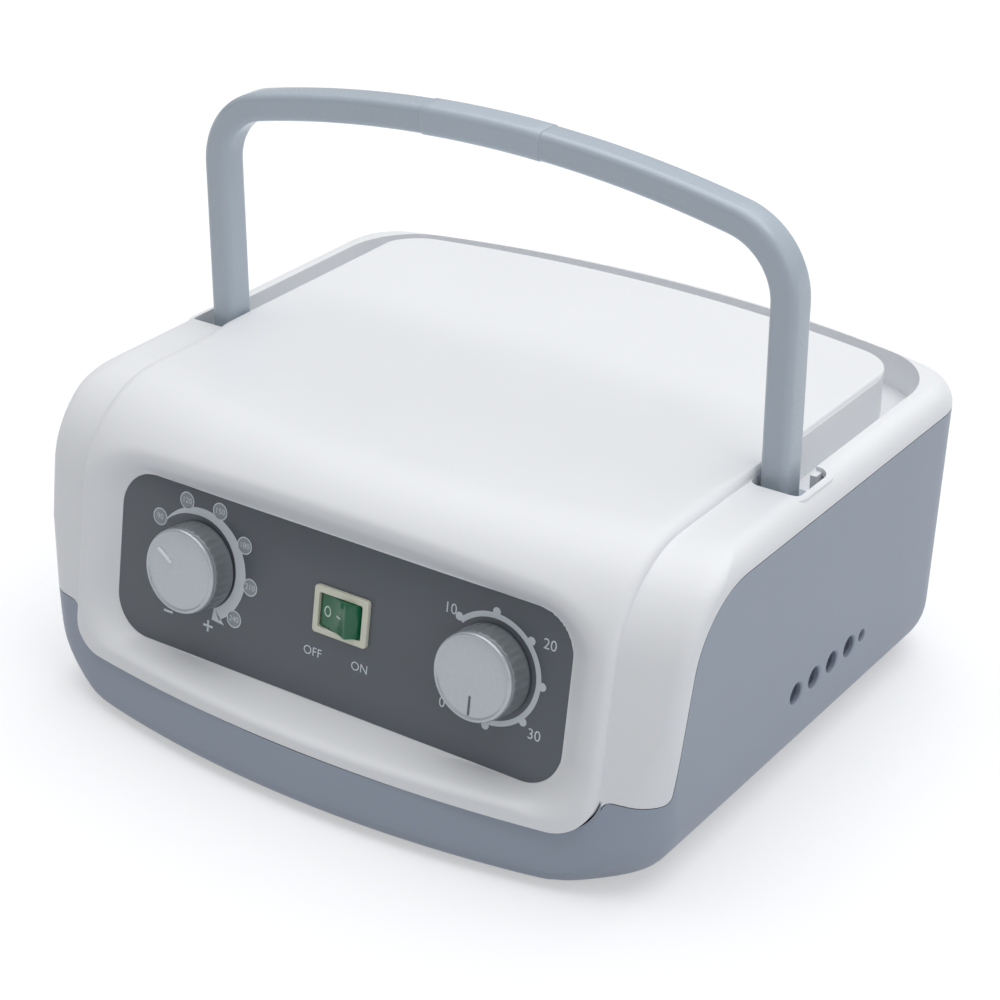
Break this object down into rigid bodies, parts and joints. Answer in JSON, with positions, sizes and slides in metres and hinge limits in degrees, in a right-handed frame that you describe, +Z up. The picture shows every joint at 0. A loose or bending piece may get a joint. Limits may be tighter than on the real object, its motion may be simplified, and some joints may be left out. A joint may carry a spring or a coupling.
{
  "type": "compression therapy pump",
  "caption": "Bench-top air compression therapy pump with a bowed two-tone housing, folding bail handle, recessed panel with two dials and a rocker switch, and side air outlets.",
  "frame": {"origin": "centre of the bounding box in plan, on the underside of the feet", "axes": "+X to the right of a person facing the panel, -Y out of the front, +Z up"},
  "size_m": [0.26, 0.2428, 0.2083],
  "materials": {
    "base_shell": "fine satin",
    "top_shell": "satin",
    "control_panel": "matte",
    "switch_frame": "satin",
    "switch_rocker": "translucent, glossy",
    "switch_terminals": "plated",
    "pressure_knob": "satin",
    "pressure_knob_cap": "satin",
    "regulator_shaft": "turned",
    "regulator_body": "cast",
    "timer_knob": "satin",
    "timer_knob_cap": "satin",
    "timer_shaft": "turned",
    "timer_body": "matte",
    "panel_nuts": "plated",
    "handle": "satin",
    "handle_grip_cover": "soft",
    "hinge_pins": "turned",
    "hinge_spacers": "matte",
    "outlet_fittings": "matte",
    "air_hoses": "soft",
    "distributor_body": "matte",
    "distributor_cover": "matte",
    "distributor_rotor": "matte",
    "distributor_motor": "plated",
    "compressor_body": "cast",
    "compressor_heads": "cast",
    "compressor_armature": "machined",
    "compressor_mounts": "soft",
    "circuit_board": "lacquered",
    "board_standoffs": "matte",
    "board_parts": "matte",
    "transformer": "varnished",
    "power_inlet": "matte",
    "inlet_pins": "plated",
    "fuse_carrier": "matte",
    "air_filter": "open foam",
    "filter_cover": "satin",
    "rubber_feet": "soft",
    "housing_screws": "plated"
  },
  "bodies": {
    "housing": {"base_shell": "base_shell", "top_shell": "top_shell", "control_panel": "control_panel", "switch_frame": "switch_frame", "switch_terminals": "switch_terminals", "regulator_body": "regulator_body", "timer_body": "timer_body", "panel_nuts": "panel_nuts", "hinge_pins": "hinge_pins", "hinge_spacers": "hinge_spacers", "outlet_fittings": "outlet_fittings", "air_hoses": "air_hoses", "distributor_body": "distributor_body", "distributor_cover": "distributor_cover", "distributor_motor": "distributor_motor", "compressor_body": "compressor_body", "compressor_heads": "compressor_heads", "compressor_mounts": "compressor_mounts", "circuit_board": "circuit_board", "board_standoffs": "board_standoffs", "board_parts": "board_parts", "transformer": "transformer", "power_inlet": "power_inlet", "inlet_pins": "inlet_pins", "fuse_carrier": "fuse_carrier", "air_filter": "air_filter", "filter_cover": "filter_cover", "rubber_feet": "rubber_feet", "housing_screws": "housing_screws"},
    "handle_arm": {"handle": "handle", "handle_grip_cover": "handle_grip_cover"},
    "pressure_dial": {"pressure_knob": "pressure_knob", "pressure_knob_cap": "pressure_knob_cap", "regulator_shaft": "regulator_shaft"},
    "timer_dial": {"timer_knob": "timer_knob", "timer_knob_cap": "timer_knob_cap", "timer_shaft": "timer_shaft"},
    "rocker": {"switch_rocker": "switch_rocker"},
    "air_rotor": {"distributor_rotor": "distributor_rotor"},
    "armature": {"compressor_armature": "compressor_armature"}
  },
  "joints": [
    {"name": "handle_pivot", "type": "hinge", "parent": "housing", "child": "handle_arm", "pos_m": [0, -0.0018, 0.0955], "axis": [-1, 0, 0], "range_deg": [0, 90]},
    {"name": "pressure_turn", "type": "hinge", "parent": "housing", "child": "pressure_dial", "pos_m": [-0.0564, -0.09673, 0.06331], "axis": [0, 0.9854, -0.1702], "range_deg": [-92, 208]},
    {"name": "timer_turn", "type": "hinge", "parent": "housing", "child": "timer_dial", "pos_m": [0.0628, -0.09673, 0.06331], "axis": [0, 0.9854, -0.1702], "range_deg": [-315, 0]},
    {"name": "rocker_tilt", "type": "hinge", "parent": "housing", "child": "rocker", "pos_m": [0.0042, -0.09417, 0.06287], "axis": [0, 0.1702, 0.9854], "range_deg": [0, 18]},
    {"name": "rotor_spin", "type": "hinge", "parent": "housing", "child": "air_rotor", "pos_m": [0.072, 0.0054, 0.0345], "axis": [0, 0, 1], "continuous": true},
    {"name": "armature_slide", "type": "slide", "parent": "housing", "child": "armature", "axis": [1, 0, 0], "range_m": [-0.001, 0.001], "stiffness_N_per_m": 4000}
  ]
}
